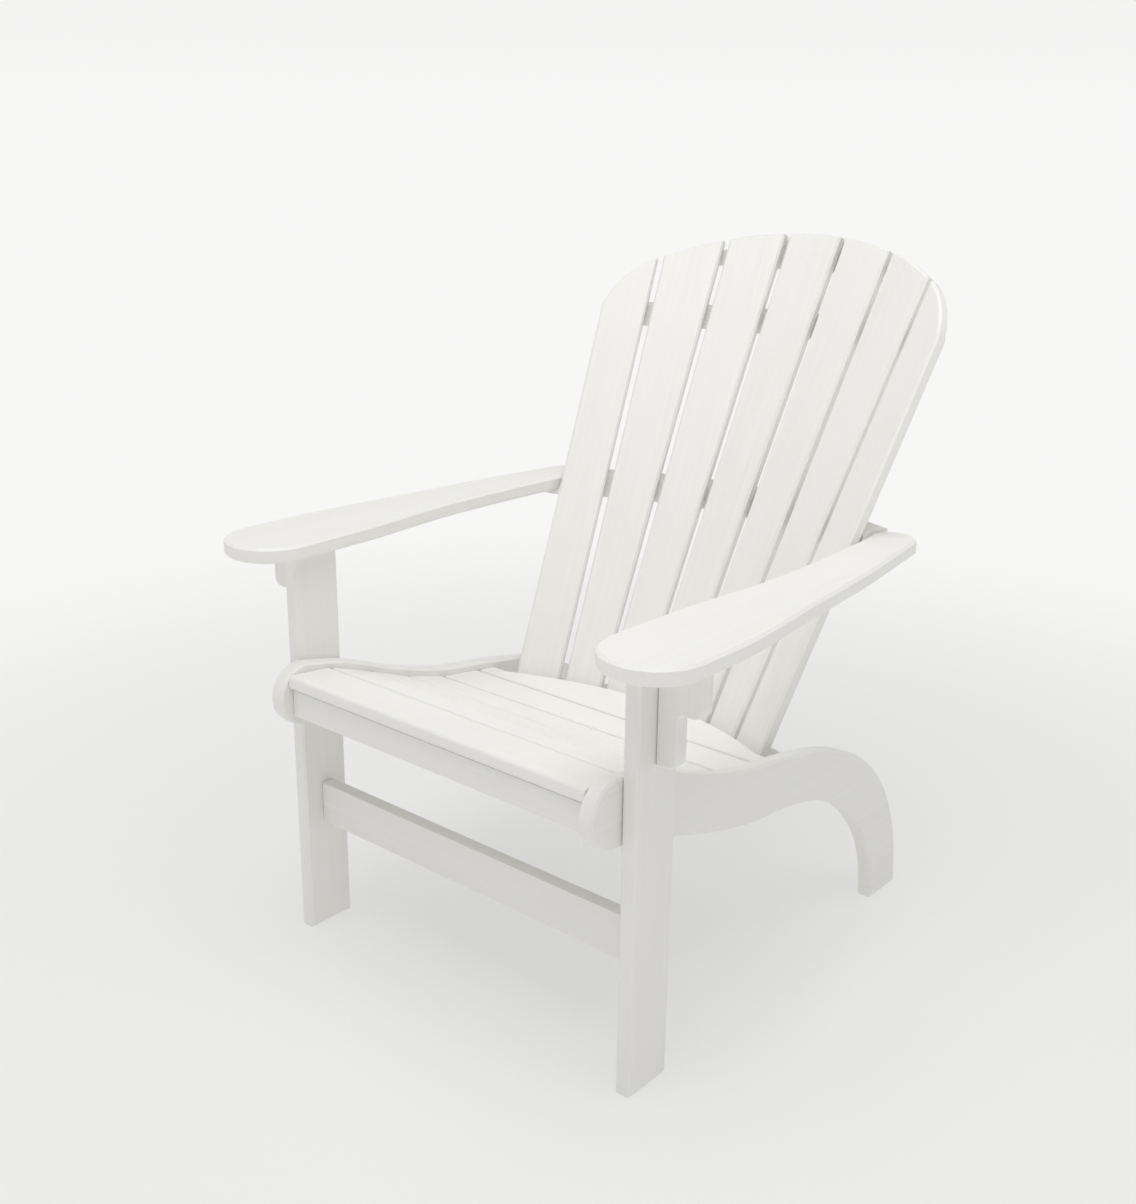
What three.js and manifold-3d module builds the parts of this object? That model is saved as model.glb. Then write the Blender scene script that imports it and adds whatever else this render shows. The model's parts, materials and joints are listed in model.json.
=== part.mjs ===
// Adirondack chair in white poly lumber. Millimetres, +Z up, the sitter faces -Y.
// Left and right are as seen from in front of the chair.
// Everything is drawn in a working frame: Y = 0 at the front edge of the front legs, Z = 0 on
// the floor. The last lines move the chair over the centre of its own bounding box.
import * as THREE from 'three';
import { mergeVertices } from 'three/addons/utils/BufferGeometryUtils.js';
import Module from 'manifold-3d';

const wasm = await Module();
wasm.setup();

// ---------------------------------------------------------------- driving dimensions
const FIT_GAP = 0.3; // air between two pieces that touch
const FAR = 1000; // longer than anything a cutting block has to pass through
const BOARD = 22; // thickness of legs and side stringers
const SLAT = 19; // thickness of seat slats, apron, stretcher and cleats
const EASE = 3; // rounding of board edges
const SMALL_EASE = 2; // the same on small or hidden boards
const SEAT_WIDTH = 505; // clear width between the two stringers

const LEG = { depth: 72, height: 548 };
const NOSE = { y: -7, z: 365, radius: 43 };
const ARM = {
  thickness: 21,
  frontRadius: 62,
  frontX: 316,
  frontY: -2,
  rearRadius: 31,
  rearX: 290,
  rearY: 550,
};
const ARM_EASE = 3.5; // rounding of the arm's edges
const BRACKET = {
  y: 30,
  thickness: 20,
  height: 129,
  reach: 60, // how far it stands out from the leg under the arm
  shelf: 62, // height of that upper part
  tail: 28, // how far the lower part stands out
  corner: 12,
  cove: 8,
};
const STRETCHER = { y: 28, z: 158, height: 59 };
const APRON = { y: -31, z: 341, height: 36.5 };
const CLEAT = { thickness: SLAT, height: 30, rearY: 356 };
const SEAT = {
  slats: 6,
  width: 68,
  gap: 5.5,
  frontY: -36,
  frontZ: 399.5,
  noseRadius: 5.5,
  backClearance: 4,
};
const BACK = {
  slats: 7,
  thickness: 16,
  gap: 8.5,
  y: 436, // front surface on the centre line, at height z
  z: 297,
  recline: THREE.MathUtils.degToRad(28.65),
  halfWidth: 222.5, // at height z
  spread: 0.151, // growth of the half width for each millimetre up the slats
  edgeSpread: 0.12, // the same for the outer edges, which open less than the joints
  cup: 0.294, // how strongly the fan of slats is cupped around the sitter
  below: 66, // length of the slats below height z
  above: 728, // length of the middle slat above height z
  archRadius: 385,
  shoulderRadius: 140,
};
const RAILS = {
  lower: { z: 238, height: 38, halfLength: SEAT_WIDTH / 2 - FIT_GAP, depth: 44 },
  arm: { z: 541, height: 32, halfLength: 298, depth: 44 },
  upper: { z: 788, height: 32, halfLength: 260, depth: 32 },
  top: { z: 880, height: 66, halfLength: 178, depth: 18 },
};
const TOP_RAIL_INSET = 7; // how far the top rail stays below the tops of the slats
const LAP_Z = RAILS.arm.z + RAILS.arm.height / 2; // the arm sits on the rail's end at this height

const SCREW = { shank: 2.4, head: 4.6, headHeight: 3.5, tip: 5 };
const LAG = { shank: 3.6, head: 6.5, headHeight: 5, tip: 6 };
const LEG_SCREWS = { length: 36, sunk: 2, front: { y: 20, z: 338 }, rear: { y: 54, z: 326 } };
const ARM_SCREW = { length: 60, out: 45, drop: 46 };
const LAP_SCREW = { length: 20, x: 283, y: 534, sunk: 1.5 };
const BACK_SCREW = { bite: 11, sunk: 2, fromRailEnd: 24 };
const DOWEL = { radius: 5, length: 40, intoSide: 15 };
const STRETCHER_DOWELS = { lower: 0.27, upper: 0.73 }; // shares of the stretcher's height

const stringerInner = SEAT_WIDTH / 2;
const stringerOuter = stringerInner + BOARD;
const legInner = stringerOuter + FIT_GAP;
const legOuter = legInner + BOARD;

// ---------------------------------------------------------------- materials
const finish = (color, roughness, metalness) =>
  new THREE.MeshStandardMaterial({ color, roughness, metalness });
const polyLumber = finish(0xf1f0ec, 0.48, 0);
const stainless = finish(0xb9bcc0, 0.35, 0.9);
const pinPlastic = finish(0xd8d6d0, 0.6, 0);

// ---------------------------------------------------------------- solids and meshes
const CURVE_STEPS = 10; // straight steps in each curved stretch of an outline
const X = new THREE.Vector3(1, 0, 0);
const Y = new THREE.Vector3(0, 1, 0);
const Z = new THREE.Vector3(0, 0, 1);
const chair = new THREE.Group();

function addMesh(name, geometry, material = polyLumber) {
  const mesh = new THREE.Mesh(geometry, material);
  mesh.name = name;
  chair.add(mesh);
  return mesh;
}

function toSolid(geometry) {
  const bare = geometry.clone();
  bare.deleteAttribute('normal');
  bare.deleteAttribute('uv');
  const merged = mergeVertices(bare, 1e-4);
  return new wasm.Manifold(new wasm.Mesh({
    numProp: 3,
    vertProperties: new Float32Array(merged.attributes.position.array),
    triVerts: new Uint32Array(merged.index.array),
  }));
}

function toGeometry(solid) {
  const { vertProperties, triVerts } = solid.getMesh();
  const geometry = new THREE.BufferGeometry();
  geometry.setAttribute('position', new THREE.BufferAttribute(vertProperties, 3));
  geometry.setIndex(new THREE.BufferAttribute(triVerts, 1));
  return geometry;
}

const cut = (geometry, cutters) =>
  toGeometry(cutters.reduce((solid, cutter) => solid.subtract(toSolid(cutter)), toSolid(geometry)));

// A board of the given outline whose edges are eased all round, from local z = 0 to its thickness.
function board(shape, thickness, ease = EASE, curveSegments = CURVE_STEPS) {
  const geometry = new THREE.ExtrudeGeometry(shape, {
    depth: thickness - 2 * ease,
    bevelThickness: ease,
    bevelSize: ease,
    bevelOffset: -ease,
    bevelSegments: 1,
    curveSegments,
  });
  return geometry.translate(0, 0, ease);
}

// Turns a geometry drawn in local x, y, z into the given world directions and place.
function place(geometry, xAxis, yAxis, origin) {
  const zAxis = new THREE.Vector3().crossVectors(xAxis, yAxis);
  const matrix = new THREE.Matrix4().makeBasis(xAxis, yAxis, zAxis).setPosition(origin);
  return geometry.applyMatrix4(matrix);
}

// A board standing in the YZ plane whose faces lie between two X values.
const sideBoard = (geometry, lowX) => place(geometry, Y, Z, new THREE.Vector3(lowX, 0, 0));

function rectangle(width, height) {
  const shape = new THREE.Shape();
  shape.moveTo(0, 0);
  shape.lineTo(width, 0);
  shape.lineTo(width, height);
  shape.lineTo(0, height);
  return shape;
}

const eachSide = (build) => [['left', -1], ['right', 1]].forEach(([name, side]) => build(name, side));
const lowX = (side, inner, outer) => (side > 0 ? inner : -outer);
const vectors = (points) => points.map(([a, b]) => new THREE.Vector2(a, b));

// An outline drawn for the right side, on the side that is asked for.
const onSide = (shape, side) =>
  new THREE.Shape(shape.getPoints(CURVE_STEPS).map(({ x, y }) => new THREE.Vector2(side * x, y)));

// ---------------------------------------------------------------- fasteners
// Profiles run along +Y from the head, which ends at y = 0, to the tip at y = length.
const TURN_STEPS = 10;
const HEAD_RIM = 0.4; // straight part of a screw head, as a share of its height
const MOUTH = 30; // how far a screw hole is open behind the head

function screwGeometry({ shank, head, headHeight, tip }, length) {
  const profile = vectors([
    [0, 0], [head, 0], [head, headHeight * HEAD_RIM], [shank, headHeight],
    [shank, length - tip], [0, length],
  ]);
  return new THREE.LatheGeometry(profile, TURN_STEPS);
}

function screwHole({ shank, head, headHeight }, length) {
  const wide = head + FIT_GAP;
  const narrow = shank + FIT_GAP;
  const end = length + FIT_GAP;
  const profile = vectors([
    [0, -MOUTH], [wide, -MOUTH], [wide, headHeight * HEAD_RIM + FIT_GAP], [narrow, headHeight + FIT_GAP],
    [narrow, end], [0, end],
  ]);
  return new THREE.LatheGeometry(profile, TURN_STEPS);
}

function aim(geometry, from, direction) {
  const turn = new THREE.Quaternion().setFromUnitVectors(Y, direction);
  return geometry.applyQuaternion(turn).translate(from.x, from.y, from.z);
}

// A fastener and the hole it needs: { name, body, hole }.
const makeScrew = (name, kind, length, from, direction) => ({
  name,
  body: aim(screwGeometry(kind, length), from, direction),
  hole: aim(screwHole(kind, length), from, direction),
});

// A pin that goes a set way into a side board whose inner face is at the given x.
function makeDowel(name, side, innerX, y, z) {
  const middle = new THREE.Vector3(side * (innerX + DOWEL.intoSide - DOWEL.length / 2), y, z);
  const cylinder = (grow) => {
    const radius = DOWEL.radius + grow;
    return new THREE.CylinderGeometry(radius, radius, DOWEL.length + 2 * grow, TURN_STEPS);
  };
  return { name, body: aim(cylinder(0), middle, X), hole: aim(cylinder(FIT_GAP), middle, X) };
}

const drilled = (geometry, fasteners) => cut(geometry, fasteners.map(({ hole }) => hole));

// ---------------------------------------------------------------- side stringers
// One board makes the seat rail and the curved rear leg.
function stringerShape() {
  const topEdge = vectors([
    [68, 390], [156, 356], [245, 330], [345, 314], [444, 292],
    [541, 249], [616, 180], [661, 90], [676, 0],
  ]);
  const underEdge = vectors([
    [592, 62], [560, 124], [502, 183], [432, 221], [350, 240],
    [275, 248], [200, 264], [109, 292], [40, 315],
  ]);
  const shape = new THREE.Shape();
  shape.moveTo(NOSE.y, NOSE.z - NOSE.radius);
  shape.absarc(NOSE.y, NOSE.z, NOSE.radius, -Math.PI / 2, Math.PI / 2, true);
  shape.splineThru(topEdge);
  shape.lineTo(603, 0);
  shape.splineThru([...underEdge, new THREE.Vector2(NOSE.y, NOSE.z - NOSE.radius)]);
  return shape;
}

// ---------------------------------------------------------------- seat
// The slats follow this line, a little below the top edge of the stringers.
const seatLine = new THREE.SplineCurve(vectors([
  [SEAT.frontY, SEAT.frontZ], [32, 392], [104, 366], [175, 338],
  [240, 319], [315, 308], [400, 297], [500, 280],
]));

// Joints between slats, found by walking along the line until each chord is one pitch long.
function findSeatJoints() {
  const walkingSteps = 2000;
  const pitch = SEAT.width + SEAT.gap;
  const joints = [seatLine.getPointAt(0)];
  for (const point of seatLine.getSpacedPoints(walkingSteps)) {
    const wanted = joints.length === 1 ? pitch - SEAT.gap / 2 : pitch;
    if (point.distanceTo(joints[joints.length - 1]) >= wanted) joints.push(point);
  }
  return joints.slice(0, SEAT.slats + 1);
}
const seatJoints = findSeatJoints();

function slatSection(width, frontRadius) {
  const shape = new THREE.Shape();
  shape.moveTo(width - EASE, 0);
  shape.absarc(width - EASE, -EASE, EASE, Math.PI / 2, 0, true);
  shape.absarc(width - EASE, -SLAT + EASE, EASE, 0, -Math.PI / 2, true);
  shape.absarc(frontRadius, -SLAT + frontRadius, frontRadius, -Math.PI / 2, -Math.PI, true);
  shape.absarc(frontRadius, -frontRadius, frontRadius, Math.PI, Math.PI / 2, true);
  return shape;
}

// Slat number i lies on the straight line between two neighbouring joints.
function seatSlatFrame(i) {
  const start = seatJoints[i];
  const along = seatJoints[i + 1].clone().sub(start).normalize();
  const offset = i === 0 ? 0 : SEAT.gap / 2;
  const corner = start.clone().addScaledVector(along, offset);
  return {
    origin: new THREE.Vector3(0, corner.x, corner.y),
    along: new THREE.Vector3(0, along.x, along.y),
    up: new THREE.Vector3(0, -along.y, along.x),
  };
}

function seatSlat(i) {
  const length = SEAT_WIDTH - 2 * FIT_GAP;
  const { origin, along, up } = seatSlatFrame(i);
  const section = slatSection(SEAT.width, i === 0 ? SEAT.noseRadius : EASE);
  const extrusion = { depth: length, bevelEnabled: false, curveSegments: 4 };
  const geometry = new THREE.ExtrudeGeometry(section, extrusion).translate(0, 0, -length / 2);
  return place(geometry, along, up, origin);
}

// The last seat slat is cut to the curve of the back.
function rearSeatSlat() {
  const { origin, along } = seatSlatFrame(SEAT.slats - 1);
  const half = SEAT_WIDTH / 2 - FIT_GAP;
  const lean = tilt.sin / tilt.cos;
  const reach = (x) =>
    (backFrontY(x, origin.z - SLAT) - SEAT.backClearance - origin.y) / (along.y - along.z * lean);
  const curveHalf = BACK.halfWidth + 2;
  const shape = new THREE.Shape();
  shape.moveTo(-half, 0);
  shape.lineTo(half, 0);
  shape.lineTo(half, reach(curveHalf));
  shape.lineTo(curveHalf, reach(curveHalf));
  shape.quadraticCurveTo(0, 2 * reach(0) - reach(curveHalf), -curveHalf, reach(curveHalf));
  shape.lineTo(-half, reach(curveHalf));
  return place(board(shape, SLAT, SMALL_EASE, 2 * CURVE_STEPS).translate(0, 0, -SLAT), X, along, origin);
}

// Cleats screwed to the inside of the stringers carry the slat ends.
function cleatShape() {
  const drop = SLAT + FIT_GAP;
  const lines = seatJoints.slice(0, -1).map((start, i) => {
    const along = seatJoints[i + 1].clone().sub(start).normalize();
    const normal = new THREE.Vector2(along.y, -along.x);
    return { point: start.clone().addScaledVector(normal, drop), slope: along.y / along.x };
  });
  const heightOn = ({ point, slope }, y) => point.y + slope * (y - point.x);
  const topEdge = lines.slice(1).map((line, i) => {
    const before = lines[i];
    const y = (line.point.y - before.point.y + before.slope * before.point.x - line.slope * line.point.x)
      / (before.slope - line.slope);
    return new THREE.Vector2(y, heightOn(line, y));
  });
  const frontY = APRON.y + SLAT + 2 * FIT_GAP;
  const front = new THREE.Vector2(frontY, heightOn(lines[0], frontY));
  const rear = new THREE.Vector2(CLEAT.rearY, heightOn(lines[lines.length - 1], CLEAT.rearY));
  const upper = [front, ...topEdge, rear];
  const lower = upper.map((point) => new THREE.Vector2(point.x, point.y - CLEAT.height)).reverse();
  return new THREE.Shape([...upper, ...lower]);
}

// ---------------------------------------------------------------- back
// Back coordinates: x across, s up along the slats, n out of the front surface.
const tilt = { sin: Math.sin(BACK.recline), cos: Math.cos(BACK.recline) };
const backUp = new THREE.Vector3(0, tilt.sin, tilt.cos);
const backOut = new THREE.Vector3(0, -tilt.cos, tilt.sin);
const backHalfWidth = (s) => BACK.halfWidth + BACK.spread * s;

function backPoint(x, n, s) {
  return new THREE.Vector3(x, BACK.y, BACK.z).addScaledVector(backUp, s).addScaledVector(backOut, n);
}

// World Y of the cupped front surface at the given x and height.
function backFrontY(x, z) {
  const s = (z - BACK.z) / tilt.cos;
  const n = BACK.cup * x * x / backHalfWidth(s);
  return BACK.y + (z - BACK.z) * tilt.sin / tilt.cos - n / tilt.cos;
}

// The outline of the whole fan: straight sides, tight shoulders and a wide arch on top.
function makeFan() {
  const archS = BACK.above - BACK.archRadius;
  const slope = BACK.edgeSpread;
  const reach = BACK.archRadius - BACK.shoulderRadius;
  const offset = BACK.halfWidth - BACK.shoulderRadius * Math.hypot(1, slope);
  // The shoulder's centre is on a line parallel to the side and at a fixed reach from the arch's centre.
  const a = 1 + slope * slope;
  const b = 2 * (offset * slope - archS);
  const c = offset * offset + archS * archS - reach * reach;
  const shoulderS = (-b + Math.sqrt(b * b - 4 * a * c)) / (2 * a);
  const shoulderX = offset + slope * shoulderS;
  const archEndX = shoulderX * BACK.archRadius / reach;
  const topAt = (x) => {
    const ax = Math.abs(x);
    if (ax <= archEndX) return archS + Math.sqrt(BACK.archRadius ** 2 - ax * ax);
    return shoulderS + Math.sqrt(Math.max(0, BACK.shoulderRadius ** 2 - (ax - shoulderX) ** 2));
  };
  const sideEndX = shoulderX + BACK.shoulderRadius / Math.hypot(1, slope);
  return { topAt, sideEndX };
}
const fan = makeFan();

// Each slat is a flat board: its place in the fan is a fraction from -1 to 1 of the half width.
function backSlatFrame(fraction) {
  const across = X.clone().addScaledVector(backOut, 2 * BACK.cup * fraction).normalize();
  const along = backUp.clone()
    .addScaledVector(X, fraction * BACK.spread)
    .addScaledVector(backOut, BACK.cup * fraction * fraction * BACK.spread);
  const up = along.addScaledVector(across, -along.dot(across)).normalize();
  const origin = backPoint(fraction * BACK.halfWidth, BACK.cup * fraction ** 2 * BACK.halfWidth, 0);
  return { across, up, origin };
}

// A point of the slat's own plane, given by its x and s in back coordinates.
function onSlat(fraction, x, s) {
  const width = backHalfWidth(s);
  const n = 2 * BACK.cup * fraction * x - BACK.cup * fraction * fraction * width;
  return backPoint(x, n, s);
}

function backSlatOutline(fraction) {
  const edgeX = (sign, s) => {
    const joint = (fraction + sign / BACK.slats) * backHalfWidth(s);
    const outermost = Math.abs(fraction + sign / BACK.slats) > 0.99;
    return outermost ? sign * (BACK.halfWidth + BACK.edgeSpread * s) : joint - sign * BACK.gap / 2;
  };
  const within = (x) => Math.max(-fan.sideEndX, Math.min(fan.sideEndX, x));
  // Where an edge meets the top of the fan: a few rounds settle it, since the edges are steep.
  const topOfEdge = (sign) => {
    let s = BACK.above;
    for (let round = 0; round < 10; round += 1) s = fan.topAt(within(edgeX(sign, s)));
    return within(edgeX(sign, s));
  };
  const steps = 8;
  const leftX = topOfEdge(-1);
  const rightX = topOfEdge(1);
  const top = Array.from({ length: steps + 1 }, (_, i) => {
    const x = rightX + ((leftX - rightX) * i) / steps;
    return [x, fan.topAt(x)];
  });
  return [[edgeX(-1, -BACK.below), -BACK.below], [edgeX(1, -BACK.below), -BACK.below], ...top];
}

function backSlat(fraction) {
  const { across, up, origin } = backSlatFrame(fraction);
  const local = backSlatOutline(fraction).map(([x, s]) => {
    const point = onSlat(fraction, x, s).sub(origin);
    return new THREE.Vector2(point.dot(across), point.dot(up));
  });
  const geometry = board(new THREE.Shape(local), BACK.thickness).translate(0, 0, -BACK.thickness);
  return place(geometry, across, up, origin);
}

// ---------------------------------------------------------------- back rails
// The front edge is cut in flats that the slats lie against, and leans back with them.
function railOutline({ z, height, halfLength, depth }, grow) {
  const s = (z + height - BACK.z) / tilt.cos;
  const width = backHalfWidth(s);
  const clearance = 2 * FIT_GAP - grow;
  const frontY = (x) => {
    const share = x / width;
    const behind = BACK.thickness * Math.hypot(1, 2 * BACK.cup * share) + clearance;
    const n = BACK.cup * width * (share * share - 1 / BACK.slats ** 2) - behind;
    return BACK.y - n / tilt.cos;
  };
  const flats = Array.from({ length: BACK.slats + 1 }, (_, j) => (2 * j / BACK.slats - 1) * width);
  const inside = flats.filter((x) => Math.abs(x) < halfLength);
  const end = halfLength + grow;
  const endY = frontY(Math.min(end, width));
  const front = [[-end, endY], ...inside.map((x) => [x, frontY(x)]), [end, endY]];
  const rearSteps = 8;
  const rear = Array.from({ length: rearSteps + 1 }, (_, i) => {
    const x = end - (2 * end * i) / rearSteps;
    return [x, frontY(Math.sign(x) * Math.min(Math.abs(x), width)) + depth + 2 * grow];
  });
  return new THREE.Shape(vectors([...front, ...rear]));
}

function railGeometry(rail, grow = 0) {
  const shape = railOutline(rail, grow);
  const geometry = grow > 0
    ? new THREE.ExtrudeGeometry(shape, { depth: rail.height + 2 * grow, bevelEnabled: false })
    : board(shape, rail.height, SMALL_EASE);
  geometry.translate(0, 0, rail.z - grow);
  const lean = new THREE.Matrix4().makeShear(0, 0, 0, 0, 0, tilt.sin / tilt.cos);
  geometry.translate(0, 0, -BACK.z).applyMatrix4(lean).translate(0, 0, BACK.z);
  return geometry;
}

// The arched board behind the tops of the five middle slats.
function topRail() {
  const steps = 12;
  const half = RAILS.top.halfLength + 1;
  const arch = Array.from({ length: steps + 1 }, (_, i) => {
    const x = half - (2 * half * i) / steps;
    const { z } = onSlat(0, x, fan.topAt(x) - TOP_RAIL_INSET);
    return [x, z];
  });
  const outline = new THREE.Shape(vectors([[-half, 0], [half, 0], ...arch]));
  const prism = new THREE.ExtrudeGeometry(outline, { depth: FAR, bevelEnabled: false });
  place(prism, X, Z, new THREE.Vector3(0, FAR, 0));
  return toGeometry(toSolid(railGeometry(RAILS.top)).intersect(toSolid(prism)));
}

// ---------------------------------------------------------------- arms
function armShape(side, grow = 0) {
  const frontRadius = ARM.frontRadius + grow;
  const rearRadius = ARM.rearRadius + grow;
  const outerEdge = [
    [377 + grow, 100], [360 + grow, 250], [344 + grow, 400],
    [ARM.rearX + rearRadius, ARM.rearY],
  ];
  const innerEdge = [
    [266 - grow, 490], [271 - grow, 370], [270 - grow, 260], [258 - grow, 130],
    [ARM.frontX - frontRadius, ARM.frontY],
  ];
  const shape = new THREE.Shape();
  shape.moveTo(ARM.frontX - frontRadius, ARM.frontY);
  shape.absarc(ARM.frontX, ARM.frontY, frontRadius, Math.PI, 2 * Math.PI, false);
  shape.splineThru(vectors(outerEdge));
  shape.absarc(ARM.rearX, ARM.rearY, rearRadius, 0, Math.PI, false);
  shape.splineThru(vectors(innerEdge));
  return onSide(shape, side);
}

// The rail's end is halved where the arm lies on it, and the arm is housed over the rail's end.
const lapCutter = (side) =>
  new THREE.ExtrudeGeometry(armShape(side, 2 * FIT_GAP), { depth: FAR, bevelEnabled: false })
    .translate(0, 0, LAP_Z);

function lapTongue() {
  const below = new THREE.BoxGeometry(FAR, 2 * FAR, FAR).translate(0, 0, LAP_Z + FIT_GAP - FAR / 2);
  return toGeometry(toSolid(railGeometry(RAILS.arm, FIT_GAP)).intersect(toSolid(below)));
}

// ---------------------------------------------------------------- brackets
// A small board under the arm, edge on against the outside of the leg, with a stepped outline.
function bracketShape(side) {
  const { reach, shelf, tail, height, corner, cove } = BRACKET;
  const top = LEG.height - FIT_GAP;
  const inner = legOuter + FIT_GAP;
  const shape = new THREE.Shape();
  shape.moveTo(inner, top);
  shape.lineTo(inner, top - height);
  shape.lineTo(inner + tail - corner, top - height);
  shape.absarc(inner + tail - corner, top - height + corner, corner, -Math.PI / 2, 0, false);
  shape.lineTo(inner + tail, top - shelf - cove);
  shape.absarc(inner + tail + cove, top - shelf - cove, cove, Math.PI, Math.PI / 2, true);
  shape.lineTo(inner + reach - corner, top - shelf);
  shape.absarc(inner + reach - corner, top - shelf + corner, corner, -Math.PI / 2, 0, false);
  shape.lineTo(inner + reach, top);
  return onSide(shape, side);
}

// ---------------------------------------------------------------- fastener places
const legScrews = (name, side) => ['front', 'rear'].map((end) => {
  const { y, z } = LEG_SCREWS[end];
  const from = new THREE.Vector3(side * (stringerInner + LEG_SCREWS.sunk), y, z);
  const outward = new THREE.Vector3(side, 0, 0);
  return makeScrew(`leg_screw_${name}_${end}`, LAG, LEG_SCREWS.length, from, outward);
});

function armScrew(name, side) {
  const y = BRACKET.y + BRACKET.thickness / 2;
  const from = new THREE.Vector3(side * (legOuter + ARM_SCREW.out), y, LEG.height - ARM_SCREW.drop);
  return makeScrew(`arm_screw_${name}`, LAG, ARM_SCREW.length, from, Z);
}

function lapScrew(name, side) {
  const from = new THREE.Vector3(side * LAP_SCREW.x, LAP_SCREW.y, RAILS.arm.z + LAP_SCREW.sunk);
  return makeScrew(`lap_screw_${name}`, SCREW, LAP_SCREW.length, from, Z);
}

const stretcherDowels = (name, side) => ['lower', 'upper'].map((level) => {
  const z = STRETCHER.z + STRETCHER.height * STRETCHER_DOWELS[level];
  return makeDowel(`stretcher_dowel_${name}_${level}`, side, legInner, STRETCHER.y + SLAT / 2, z);
});

const apronDowel = (name, side) =>
  makeDowel(`apron_dowel_${name}`, side, stringerInner, APRON.y + SLAT / 2, APRON.z + APRON.height / 2);

const slatFractions = Array.from(
  { length: BACK.slats },
  (_, k) => (2 * k - BACK.slats + 1) / BACK.slats,
);

// One screw from behind through the rail into each slat, square to the slat's face.
const backScrews = (railName, rail) => slatFractions.map((fraction, k) => {
  const { across, up } = backSlatFrame(fraction);
  const forward = new THREE.Vector3().crossVectors(across, up);
  const through = -rail.depth * forward.y; // thickness of the rail along the screw
  const middleZ = rail.z + rail.height / 2;
  const reach = rail.halfLength - BACK_SCREW.fromRailEnd;
  const pointAt = (s) => {
    const x = THREE.MathUtils.clamp(fraction * backHalfWidth(s), -reach, reach);
    return onSlat(fraction, x, s);
  };
  // The height at which the screw passes through the middle of the rail: a few rounds settle it.
  let s = (middleZ - BACK.z) / tilt.cos;
  for (let round = 0; round < 6; round += 1) {
    const middle = pointAt(s).addScaledVector(forward, -BACK.thickness - through / 2);
    s += (middleZ - middle.z) / tilt.cos;
  }
  const length = through - BACK_SCREW.sunk + BACK_SCREW.bite;
  const from = pointAt(s).addScaledVector(forward, BACK_SCREW.bite - BACK.thickness - length);
  return makeScrew(`${railName}_screw_${k + 1}`, SCREW, length, from, forward);
});

// ---------------------------------------------------------------- assembly
const armRailScrews = backScrews('arm_rail', RAILS.arm);
const upperRailScrews = backScrews('upper_rail', RAILS.upper);
const addFasteners = (fasteners, material) =>
  fasteners.forEach(({ name, body }) => addMesh(name, body, material));

const dowels = { stretcher: [], apron: [] };
const lapScrews = [];

eachSide((name, side) => {
  const legLow = lowX(side, legInner, legOuter);
  const stringerLow = lowX(side, stringerInner, stringerOuter);
  const screws = legScrews(name, side);
  const lift = armScrew(name, side);
  const lap = lapScrew(name, side);
  const ends = stretcherDowels(name, side);
  const apronEnd = apronDowel(name, side);
  dowels.stretcher.push(...ends);
  dowels.apron.push(apronEnd);
  lapScrews.push(lap);

  const leg = sideBoard(board(rectangle(LEG.depth, LEG.height - FIT_GAP), BOARD), legLow);
  addMesh(`front_leg_${name}`, drilled(leg, [...screws, ...ends]));
  const stringer = sideBoard(board(stringerShape(), BOARD, EASE, 5), stringerLow);
  addMesh(`stringer_${name}`, drilled(stringer, [...screws, apronEnd]));
  const cleat = new THREE.ExtrudeGeometry(cleatShape(), { depth: CLEAT.thickness, bevelEnabled: false });
  const cleatOuter = stringerInner - FIT_GAP;
  addMesh(`seat_cleat_${name}`, sideBoard(cleat, lowX(side, cleatOuter - CLEAT.thickness, cleatOuter)));

  const armBoard = board(armShape(side), ARM.thickness, ARM_EASE).translate(0, 0, LEG.height);
  const housed = cut(armBoard, [lapTongue()]);
  addMesh(`arm_${name}`, drilled(housed, [lift, lap]));
  const bracketRear = new THREE.Vector3(0, BRACKET.y + BRACKET.thickness, 0);
  const bracket = place(board(bracketShape(side), BRACKET.thickness, SMALL_EASE), X, Z, bracketRear);
  addMesh(`arm_bracket_${name}`, drilled(bracket, [lift]));
  addFasteners([...screws, lift, lap], stainless);
  addFasteners([...ends, apronEnd], pinPlastic);
});

const crossBoard = (length, { y, z, height }) =>
  place(board(rectangle(SLAT, height), length, 1), Y, Z, new THREE.Vector3(-length / 2, y, z));

const stretcher = crossBoard(2 * (legInner - FIT_GAP), STRETCHER);
addMesh('front_stretcher', drilled(stretcher, dowels.stretcher));
const apron = crossBoard(SEAT_WIDTH - 2 * FIT_GAP, APRON);
addMesh('seat_apron', drilled(apron, dowels.apron));

for (let i = 0; i < SEAT.slats - 1; i += 1) addMesh(`seat_slat_${i + 1}`, seatSlat(i));
addMesh(`seat_slat_${SEAT.slats}`, rearSeatSlat());

slatFractions.forEach((fraction, k) => {
  addMesh(`back_slat_${k + 1}`, drilled(backSlat(fraction), [armRailScrews[k], upperRailScrews[k]]));
});

const armRail = cut(railGeometry(RAILS.arm), [lapCutter(-1), lapCutter(1)]);
addMesh('back_rail_arm', drilled(armRail, [...armRailScrews, ...lapScrews]));
addMesh('back_rail_upper', drilled(railGeometry(RAILS.upper), upperRailScrews));
addMesh('back_rail_lower', railGeometry(RAILS.lower));
addMesh('back_rail_top', topRail());
addFasteners([...armRailScrews, ...upperRailScrews], stainless);

// ---------------------------------------------------------------- origin
const bounds = new THREE.Box3().setFromObject(chair);
const centre = bounds.getCenter(new THREE.Vector3());
chair.position.set(-centre.x, -centre.y, -bounds.min.z);
chair.updateMatrixWorld(true);

export default chair;
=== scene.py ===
"""Looks of the white poly lumber adirondack chair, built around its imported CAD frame.

Every board of the frame is rebuilt with soft, rounded edges and an extruded plastic finish whose
grain runs along the board. Every screw is rebuilt rounder, with a socket in its head, and the rows
of screws that the frame leaves out of the lower and top back rails are added.
"""
import json
import math

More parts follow.
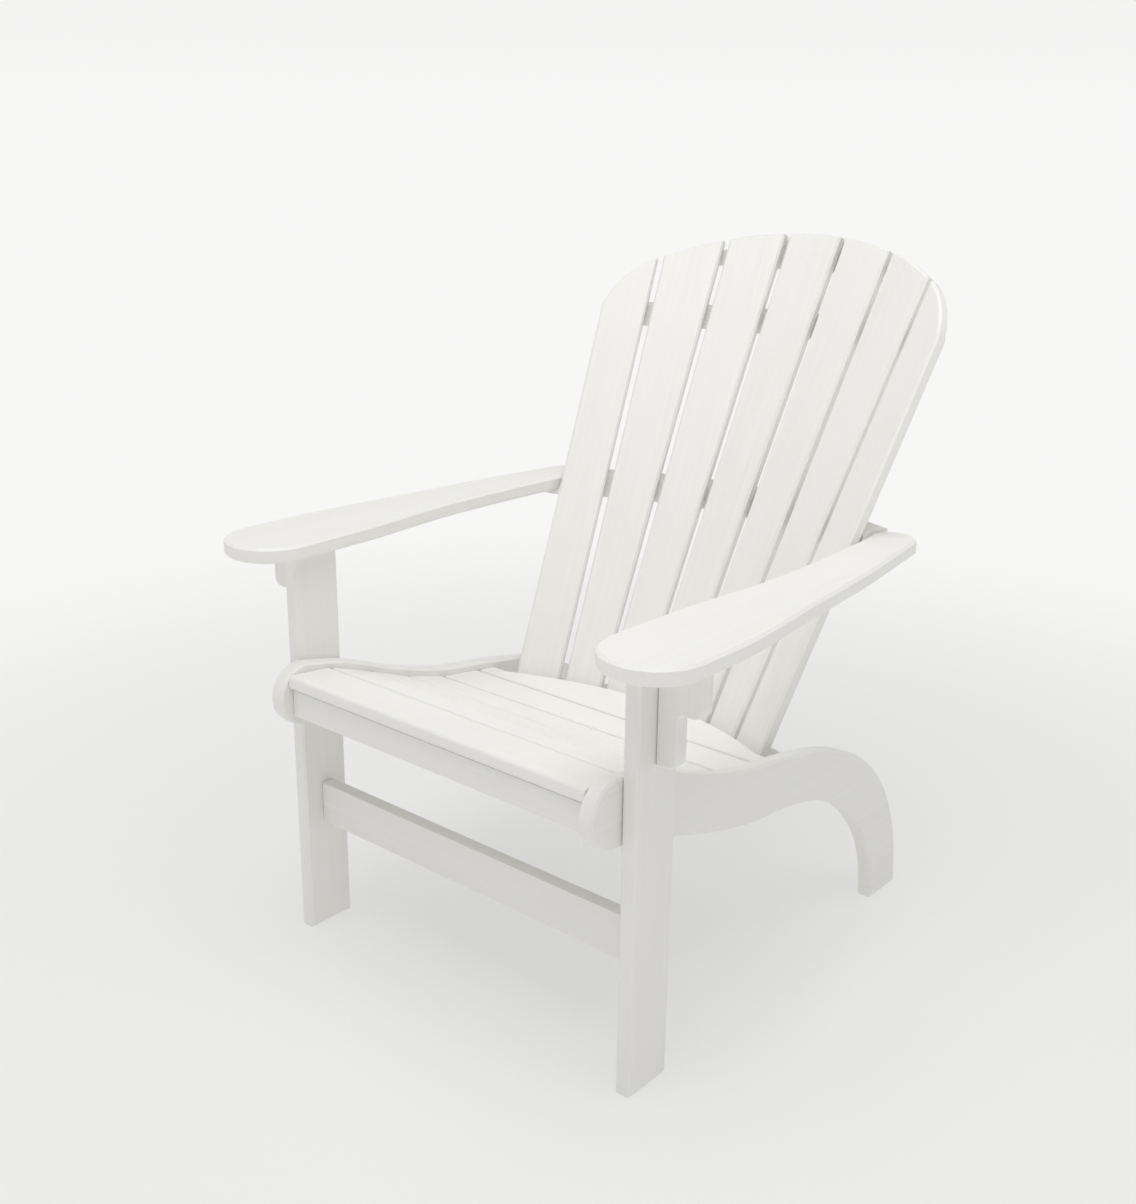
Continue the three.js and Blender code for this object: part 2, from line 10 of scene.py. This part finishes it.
import bmesh
import bpy
from mathutils import Matrix, Vector
from mathutils.bvhtree import BVHTree


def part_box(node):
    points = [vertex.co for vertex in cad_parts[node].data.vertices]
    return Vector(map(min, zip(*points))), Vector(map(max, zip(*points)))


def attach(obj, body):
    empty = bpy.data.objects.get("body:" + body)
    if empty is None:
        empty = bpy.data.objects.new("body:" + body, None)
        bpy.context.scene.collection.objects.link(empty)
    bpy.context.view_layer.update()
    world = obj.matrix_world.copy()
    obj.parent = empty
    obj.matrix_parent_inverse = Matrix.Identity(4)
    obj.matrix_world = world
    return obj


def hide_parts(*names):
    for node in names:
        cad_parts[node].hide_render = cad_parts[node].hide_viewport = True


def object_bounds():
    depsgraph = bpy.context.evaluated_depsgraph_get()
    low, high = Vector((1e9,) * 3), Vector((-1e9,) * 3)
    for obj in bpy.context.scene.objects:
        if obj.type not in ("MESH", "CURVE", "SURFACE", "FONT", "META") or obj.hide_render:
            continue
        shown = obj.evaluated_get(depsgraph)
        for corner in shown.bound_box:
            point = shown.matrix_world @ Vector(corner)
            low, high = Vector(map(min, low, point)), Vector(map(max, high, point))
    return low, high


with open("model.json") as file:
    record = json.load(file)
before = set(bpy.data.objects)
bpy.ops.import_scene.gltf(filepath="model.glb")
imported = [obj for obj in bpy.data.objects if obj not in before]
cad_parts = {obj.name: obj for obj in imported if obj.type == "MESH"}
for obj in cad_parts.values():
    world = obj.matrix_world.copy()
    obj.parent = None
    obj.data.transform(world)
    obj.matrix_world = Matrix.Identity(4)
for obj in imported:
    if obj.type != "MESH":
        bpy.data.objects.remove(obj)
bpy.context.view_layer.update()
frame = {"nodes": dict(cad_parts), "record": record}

# ---------------------------------------------------------------- driving values
# In metres and radians, apart from the screw shapes, which are in millimetres.
MM = 0.001
EDGE_WIDTH = 1.5 * MM  # how far the rounding reaches on each side of an edge
EDGE_SEGMENTS = 3
EDGE_ANGLE = math.radians(28)  # edges sharper than this are rounded
FLAT_ANGLE = math.radians(0.5)  # faces closer than this are one flat face
WELD = 0.01 * MM  # corners closer than this are one corner
GRAIN_SHIFT = (0.37, 0.61, 0.83)  # from one board's grain to the next board's

# Screw shapes as the CAD has them, with the hexagon socket that the frame leaves out. The lag's
# head is 0.1 mm narrower than in the CAD, to stay clear of its ten-sided hole.
WOOD_SCREW = {"shank": 2.4, "head": 4.6, "head_height": 3.5, "tip": 5.0, "socket": 2.0}
LAG_SCREW = {"shank": 3.6, "head": 6.4, "head_height": 5.0, "tip": 6.0, "socket": 3.0}
SOCKET_DEPTH = 2.0 * MM
SCREW_SEGMENTS = 36
RIM_ROUNDING = 0.4 * MM
ROUNDING_MIDDLE = 0.3  # how far a quarter circle's middle lies from its corner, by its radius
RIM_SHARE = 0.4  # where a screw head's side starts to taper, as a share of its height
SOCKET_RIM = 1.25  # the flat ring around the socket, by the socket's own size
EXTRA_SCREW = {"length": 24 * MM, "proud": 0.4 * MM}  # the screws of the lower and top back rails
# The first and last slat that each rail holds, and the screws' height as a share of the rail's.
EXTRA_ROWS = {"back_rail_lower": (1, 7, 0.5), "back_rail_top": (2, 6, 0.25)}

CAMERA = {
    "location": Vector((1.1589, -1.5049, 1.0823)),
    "turn": math.radians(40.57),  # towards the chair's left side, from straight ahead
    "down": math.radians(18.31),
    "roll": math.radians(0.64),
    "lens": 42.96,
}

HORIZON_COLOUR = (0.93, 0.93, 0.925, 1)
OVERHEAD = {"location": (0.35, -0.6, 3.0), "target": (0, 0.1, 0), "size": 2.8, "power": 31}
FLOOR = {
    "radius": 40.0,
    "steps": 128,
    "fade_from": 0.7,
    "fade_to": 2.2,
    "glow": (0.86, 0.86, 0.85, 1),
    "glow_share": 0.5,  # the part of the floor's brightness that shadows don't reach
}
# Brightness of the backdrop by elevation, as the sine of the angle above the horizon.
SKY = [
    (-1.0, 0.93), (0.0, 0.93), (0.10, 0.89), (0.34, 0.46), (0.65, 0.38), (0.88, 0.95), (1.0, 1.2),
]
SKY_BLUE = 0.995  # blue as a share of red and green: a barely warm white

BACK_MARGIN = 0.02  # least distance from a rail's end to its outermost screw
SEARCH_GAP = 0.02  # how far behind a rail the search for its rear face starts
RECLINE = math.radians(28.65)
BACK_UP = Vector((0, math.sin(RECLINE), math.cos(RECLINE)))
BACK_FAN = 0.151  # sideways lean of the outermost joint for each metre up the back


# ---------------------------------------------------------------- node helpers
class Nodes:
    """Small wrapper that adds shader nodes and links them by socket name."""

    def __init__(self, owner):
        self.tree = owner.node_tree
        self.tree.nodes.clear()

    def add(self, kind, inputs=(), **settings):
        node = self.tree.nodes.new(kind)
        for key, value in settings.items():
            setattr(node, key, value)
        for key, value in dict(inputs).items():
            if isinstance(value, bpy.types.NodeSocket):
                self.tree.links.new(value, node.inputs[key])
            else:
                node.inputs[key].default_value = value
        return node

    def output(self, shader):
        self.add("ShaderNodeOutputMaterial", {"Surface": shader.outputs[0]})


def new_material(name):
    material = bpy.data.materials.new(name)
    material.use_nodes = True
    return material, Nodes(material)


def remap(nodes, value, low, high, from_low=0.0):
    """Stretches a value between from_low and 1 to the range low to high."""
    limits = {"Value": value, "From Min": from_low, "To Min": low, "To Max": high}
    node = nodes.add("ShaderNodeMapRange", limits)
    return node.outputs["Result"]


def two_tone(nodes, share, dark, light, dark_at=0.0, light_at=1.0):
    """Mixes two colours by a value from 0 to 1."""
    ramp = nodes.add("ShaderNodeValToRGB", {"Fac": share})
    stops = ramp.color_ramp.elements
    for stop, position, colour in zip(stops, (dark_at, light_at), (dark, light)):
        stop.position = position
        stop.color = (*colour, 1)
    return ramp.outputs["Color"]


def relief(nodes, height, strength, depth, below=None):
    """Fine surface relief, laid over another relief if one is given."""
    inputs = {"Height": height, "Strength": strength, "Distance": depth}
    if below is not None:
        inputs["Normal"] = below
    return nodes.add("ShaderNodeBump", inputs).outputs["Normal"]


def even_noise(nodes, scale, detail):
    """Noise fixed to the object, the same in all directions."""
    rest = nodes.add("ShaderNodeTexCoord").outputs["Object"]
    inputs = {"Vector": rest, "Scale": scale, "Detail": detail}
    return nodes.add("ShaderNodeTexNoise", inputs).outputs["Fac"]


def blend(nodes, share, first, second):
    """Mixes two shaders, `share` of the second with the rest of the first."""
    return nodes.add("ShaderNodeMixShader", {0: share, 1: first.outputs[0], 2: second.outputs[0]})


# ---------------------------------------------------------------- materials
def grain_space(nodes, direction, seed):
    """Coordinates in metres whose Z runs along the board, shifted so that no two boards match."""
    rest = nodes.add("ShaderNodeTexCoord").outputs["Object"]
    turn = direction.rotation_difference(Vector((0, 0, 1))).to_euler()
    shift = [step * seed for step in GRAIN_SHIFT]
    mapping = nodes.add("ShaderNodeMapping", {"Vector": rest, "Rotation": turn, "Location": shift})
    return mapping.outputs["Vector"]


def stretched_noise(nodes, space, across, along, detail=4.0, roughness=0.55):
    """Noise whose features are about 1/across wide and 1/along long, in metres."""
    scaled = nodes.add("ShaderNodeMapping", {"Vector": space, "Scale": (across, across, along)})
    noise = nodes.add(
        "ShaderNodeTexNoise",
        {"Vector": scaled.outputs["Vector"], "Scale": 1.0, "Detail": detail, "Roughness": roughness},
    )
    return noise.outputs["Fac"]


def poly_lumber(name, direction, seed):
    """White extruded plastic board: satin, with brushed lengthwise grain and faint clouding."""
    material, nodes = new_material(name)
    space = grain_space(nodes, direction, seed)
    streaks = stretched_noise(nodes, space, across=170, along=3.5)
    fibres = stretched_noise(nodes, space, across=1100, along=26, detail=3.0)
    clouds = stretched_noise(nodes, space, across=9, along=2.5, detail=2.0)
    skin = stretched_noise(nodes, space, across=2600, along=2200, detail=1.0)

    mixed = {"Factor": streaks, "A": clouds, "B": streaks}
    tone = nodes.add("ShaderNodeMix", mixed, data_type="FLOAT").outputs[0]
    shaded, pale = (0.812, 0.805, 0.774), (0.856, 0.850, 0.826)
    grooves = relief(nodes, streaks, strength=0.22, depth=0.5 * MM)
    brushed = relief(nodes, fibres, strength=0.20, depth=0.12 * MM, below=grooves)
    shader = nodes.add(
        "ShaderNodeBsdfPrincipled",
        {
            "Base Color": two_tone(nodes, tone, shaded, pale, dark_at=0.28, light_at=0.68),
            "Roughness": remap(nodes, fibres, 0.40, 0.58),
            "IOR": 1.5,
            "Normal": relief(nodes, skin, strength=0.12, depth=0.06 * MM, below=brushed),
        },
    )
    nodes.output(shader)
    return material


def stainless_steel():
    """Satin steel with a very fine grain and a little dirt."""
    material, nodes = new_material("stainless_steel")
    grain = even_noise(nodes, scale=1800.0, detail=2.0)
    dirt = even_noise(nodes, scale=160.0, detail=4.0)
    shader = nodes.add(
        "ShaderNodeBsdfPrincipled",
        {
            "Base Color": two_tone(nodes, dirt, (0.46, 0.46, 0.46), (0.66, 0.67, 0.68)),
            "Metallic": 1.0,
            "Roughness": remap(nodes, grain, 0.25, 0.42),
            "Normal": relief(nodes, grain, strength=0.2, depth=0.05 * MM),
        },
    )
    nodes.output(shader)
    return material


def pin_plastic():
    """Grey-white moulded pin, slightly mottled."""
    material, nodes = new_material("pin_plastic")
    mottle = even_noise(nodes, scale=240.0, detail=3.0)
    shader = nodes.add(
        "ShaderNodeBsdfPrincipled",
        {
            "Base Color": two_tone(nodes, mottle, (0.68, 0.67, 0.64), (0.78, 0.77, 0.74)),
            "Roughness": remap(nodes, mottle, 0.5, 0.7),
        },
    )
    nodes.output(shader)
    return material


def studio_floor():
    """Pale satin floor that melts into the bright backdrop with distance from the chair."""
    material, nodes = new_material("studio_floor")
    mottle = even_noise(nodes, scale=1.5, detail=2.0)
    colour = two_tone(nodes, mottle, (0.85, 0.85, 0.848), (0.86, 0.86, 0.858))
    surface = nodes.add("ShaderNodeBsdfPrincipled", {"Base Color": colour, "Roughness": 0.35})
    glow = nodes.add("ShaderNodeEmission", {"Color": FLOOR["glow"], "Strength": 1.0})
    near = blend(nodes, FLOOR["glow_share"], surface, glow)
    far = nodes.add("ShaderNodeEmission", {"Color": HORIZON_COLOUR, "Strength": 1.0})
    rest = nodes.add("ShaderNodeTexCoord").outputs["Object"]
    distance = nodes.add("ShaderNodeVectorMath", {0: rest}, operation="LENGTH").outputs["Value"]
    fade = nodes.add(
        "ShaderNodeMapRange",
        {"Value": distance, "From Min": FLOOR["fade_from"], "From Max": FLOOR["fade_to"]},
        interpolation_type="SMOOTHSTEP",
    )
    nodes.output(blend(nodes, fade.outputs["Result"], near, far))
    return material


# ---------------------------------------------------------------- boards
def grain_direction(node):
    """The way each board was extruded; a back slat's sideways lean is a rough one, from its box."""
    if node.startswith(("front_leg", "arm_bracket")):
        return Vector((0, 0, 1))
    if node.startswith(("stringer", "arm_left", "arm_right", "seat_cleat")):
        return Vector((0, 1, 0))
    if node.startswith("back_slat"):
        low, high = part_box(node)
        lean = BACK_FAN * (low[0] + high[0]) / (high[0] - low[0] + abs(low[0] + high[0]))
        return (BACK_UP + Vector((lean, 0, 0))).normalized()
    return Vector((1, 0, 0))


def rounded_copy(node):
    """A copy of the CAD board with its flats merged and its chamfered edges rounded."""
    source = frame["nodes"][node]
    mesh = source.data.copy()
    mesh.name = f"{node}_rounded"
    work = bmesh.new()
    work.from_mesh(mesh)
    bmesh.ops.remove_doubles(work, verts=work.verts, dist=WELD)
    bmesh.ops.dissolve_limit(
        work, angle_limit=FLAT_ANGLE, verts=work.verts, edges=work.edges, use_dissolve_boundaries=False
    )
    sharp = [
        edge for edge in work.edges
        if len(edge.link_faces) == 2 and edge.calc_face_angle(0) > EDGE_ANGLE
    ]
    bmesh.ops.bevel(
        work, geom=sharp, offset=EDGE_WIDTH, offset_type="OFFSET", segments=EDGE_SEGMENTS,
        profile=0.5, affect="EDGES", clamp_overlap=True,
    )
    for face in work.faces:
        face.smooth = True
    work.to_mesh(mesh)
    work.free()
    piece = bpy.data.objects.new(f"{node}_board", mesh)
    bpy.context.scene.collection.objects.link(piece)
    normals = piece.modifiers.new("even_normals", "WEIGHTED_NORMAL")
    normals.weight = 100
    normals.keep_sharp = True
    return piece


def finish_board(node, seed):
    """Puts the rounded board in the place of the frame's."""
    piece = rounded_copy(node)
    piece.data.materials.clear()
    piece.data.materials.append(poly_lumber(f"poly_lumber_{node}", grain_direction(node), seed))
    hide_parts(node)
    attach(piece, "root")


def finish_boards():
    subparts = frame["record"]["subparts"]
    boards = [entry["node"] for entry in subparts if entry["material_slot"] == "poly_lumber"]
    for seed, node in enumerate(boards):
        finish_board(node, seed)


# ---------------------------------------------------------------- screws and pins
def hexagon_radius(across, angle):
    """Distance from the centre to the side of a hexagon whose flats are `across` from it."""
    sixth = math.pi / 3
    return across / math.cos((angle % sixth) - sixth / 2)


def screw_profile(kind, length):
    """Rings from the bottom of the socket, over the head and down the shank to its taper."""
    head, shank, socket = kind["head"] * MM, kind["shank"] * MM, kind["socket"] * MM
    rim = kind["head_height"] * MM * RIM_SHARE
    bulge = RIM_ROUNDING * ROUNDING_MIDDLE
    return [
        ("hexagon", socket, SOCKET_DEPTH),
        ("hexagon", socket, RIM_ROUNDING / 2),
        ("round", socket * SOCKET_RIM, 0.0),
        ("round", head - RIM_ROUNDING, 0.0),
        ("round", head - bulge, bulge),
        ("round", head, RIM_ROUNDING),
        ("round", head, rim),
        ("round", shank, kind["head_height"] * MM),
        ("round", shank, length - kind["tip"] * MM),
    ]


def screw_mesh(name, kind, length):
    """A closed screw along local +Z, its head's top face at z = 0 and its tip at z = length."""
    work = bmesh.new()
    rings = []
    for shape, size, z in screw_profile(kind, length):
        ring = []
        for step in range(SCREW_SEGMENTS):
            angle = 2 * math.pi * step / SCREW_SEGMENTS
            radius = hexagon_radius(size, angle) if shape == "hexagon" else size
            ring.append(work.verts.new((radius * math.cos(angle), radius * math.sin(angle), z)))
        rings.append(ring)
    for upper, lower in zip(rings, rings[1:]):
        for step in range(SCREW_SEGMENTS):
            after = (step + 1) % SCREW_SEGMENTS
            work.faces.new((upper[step], upper[after], lower[after], lower[step]))
    work.faces.new(rings[0])
    tip = work.verts.new((0, 0, length))
    for step in range(SCREW_SEGMENTS):
        work.faces.new((rings[-1][step], rings[-1][(step + 1) % SCREW_SEGMENTS], tip))
    bmesh.ops.recalc_face_normals(work, faces=work.faces)
    mesh = bpy.data.meshes.new(name)
    work.to_mesh(mesh)
    work.free()
    return mesh


def screw_axis(node):
    """Where the CAD screw's head face is centred, which way it points, and its length."""
    work = bmesh.new()
    work.from_mesh(frame["nodes"][node].data)
    bmesh.ops.remove_doubles(work, verts=work.verts, dist=WELD)
    points = [vertex.co.copy() for vertex in work.verts]
    work.free()
    middle = sum(points, Vector()) / len(points)
    tip = max(points, key=lambda point: (point - middle).length)
    direction = (tip - middle).normalized()
    length = max((tip - point).dot(direction) for point in points)
    return tip - direction * length, direction, length


def add_screw(name, kind, head, direction, length, finish):
    """A screw whose head's top face is centred at `head` and whose tip points along `direction`."""
    piece = bpy.data.objects.new(name, screw_mesh(name, kind, length))
    bpy.context.scene.collection.objects.link(piece)
    turn = direction.to_track_quat("Z", "Y").to_matrix().to_4x4()
    piece.data.transform(Matrix.Translation(head) @ turn)
    piece.data.materials.append(finish)
    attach(piece, "root")
    return piece


def add_extra_screws(finish):
    """Rows of screws from behind in the lower and top back rails, in line with the other rows."""
    for rail, (first, last, share_up) in EXTRA_ROWS.items():
        mesh = frame["nodes"][rail].data
        surface = BVHTree.FromPolygons(
            [vertex.co for vertex in mesh.vertices], [tuple(face.vertices) for face in mesh.polygons]
        )
        low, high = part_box(rail)
        height = low[2] + share_up * (high[2] - low[2])
        for number in range(first, last + 1):
            lower, direction, _ = screw_axis(f"arm_rail_screw_{number}")
            upper, _, _ = screw_axis(f"upper_rail_screw_{number}")
            share = (height - lower.z) / (upper.z - lower.z)
            x = lower.x + share * (upper.x - lower.x)
            x = max(low[0] + BACK_MARGIN, min(high[0] - BACK_MARGIN, x))
            start = Vector((x, high[1] + SEARCH_GAP, height))
            point = surface.ray_cast(start, Vector((0, -1, 0)))[0]
            head = point - direction * EXTRA_SCREW["proud"]
            name = f"{rail}_screw_{number}"
            add_screw(name, WOOD_SCREW, head, direction, EXTRA_SCREW["length"], finish)


def finish_hardware():
    steel, plastic = stainless_steel(), pin_plastic()
    for entry in frame["record"]["subparts"]:
        node = entry["node"]
        if entry["material_slot"] == "stainless_steel":
            kind = LAG_SCREW if node.startswith(("leg_screw", "arm_screw")) else WOOD_SCREW
            piece = add_screw(f"{node}_turned", kind, *screw_axis(node), steel)
            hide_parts(node)
        elif entry["material_slot"] == "pin_plastic":
            for slot in frame["nodes"][node].material_slots:
                slot.material = plastic
    add_extra_screws(steel)


# ---------------------------------------------------------------- studio
def build_floor():
    """A wide disc level with the feet of the chair."""
    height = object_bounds()[0][2]
    radius, steps = FLOOR["radius"], FLOOR["steps"]
    mesh = bpy.data.meshes.new("studio_floor")
    angles = [2 * math.pi * step / steps for step in range(steps)]
    ring = [(radius * math.cos(angle), radius * math.sin(angle), height) for angle in angles]
    mesh.from_pydata(ring, [], [tuple(range(steps))])
    floor = bpy.data.objects.new("studio_floor", mesh)
    bpy.context.scene.collection.objects.link(floor)
    mesh.materials.append(studio_floor())


def area_light(name, location, target, size, power):
    data = bpy.data.lights.new(name, "AREA")
    data.shape = "DISK"
    data.size = size
    data.energy = power
    light = bpy.data.objects.new(name, data)
    bpy.context.scene.collection.objects.link(light)
    light.location = location
    light.rotation_euler = (Vector(target) - Vector(location)).to_track_quat("-Z", "Y").to_euler()


def build_backdrop():
    """Bright all round the horizon, dimmer above it, and bright again overhead."""
    world = bpy.data.worlds.new("studio")
    world.use_nodes = True
    bpy.context.scene.world = world
    nodes = Nodes(world)
    direction = nodes.add("ShaderNodeTexCoord").outputs["Generated"]
    height = nodes.add("ShaderNodeSeparateXYZ", {"Vector": direction}).outputs["Z"]
    share = remap(nodes, height, 0.0, 1.0, from_low=-1.0)
    ramp = nodes.add("ShaderNodeValToRGB", {"Fac": share})
    stops = ramp.color_ramp.elements
    while len(stops) < len(SKY):
        stops.new(0.5)
    for stop, (sine, level) in zip(stops, SKY):
        stop.position = (sine + 1) / 2
        stop.color = (level, level, level * SKY_BLUE, 1)
    background = nodes.add("ShaderNodeBackground", {"Color": ramp.outputs["Color"], "Strength": 1.0})
    nodes.add("ShaderNodeOutputWorld", {"Surface": background.outputs[0]})


def build_lights():
    """One large soft light above the chair; the backdrop gives the rest."""
    area_light("overhead", **OVERHEAD)


def build_camera():
    turn, down = CAMERA["turn"], CAMERA["down"]
    level_forward = Vector((-math.sin(turn), math.cos(turn), 0))
    forward = level_forward * math.cos(down) - Vector((0, 0, math.sin(down)))
    right = Vector((math.cos(turn), math.sin(turn), 0))
    up = right.cross(forward)
    data = bpy.data.cameras.new("camera")
    data.lens = CAMERA["lens"]
    camera = bpy.data.objects.new("camera", data)
    bpy.context.scene.collection.objects.link(camera)
    level = Matrix((right, up, -forward)).transposed()
    camera.rotation_euler = (level @ Matrix.Rotation(CAMERA["roll"], 3, "Z")).to_euler()
    camera.location = CAMERA["location"]
    bpy.context.scene.camera = camera


finish_boards()
finish_hardware()
build_floor()
build_backdrop()
build_lights()
bpy.context.scene.view_settings.view_transform = "Standard"
build_camera()
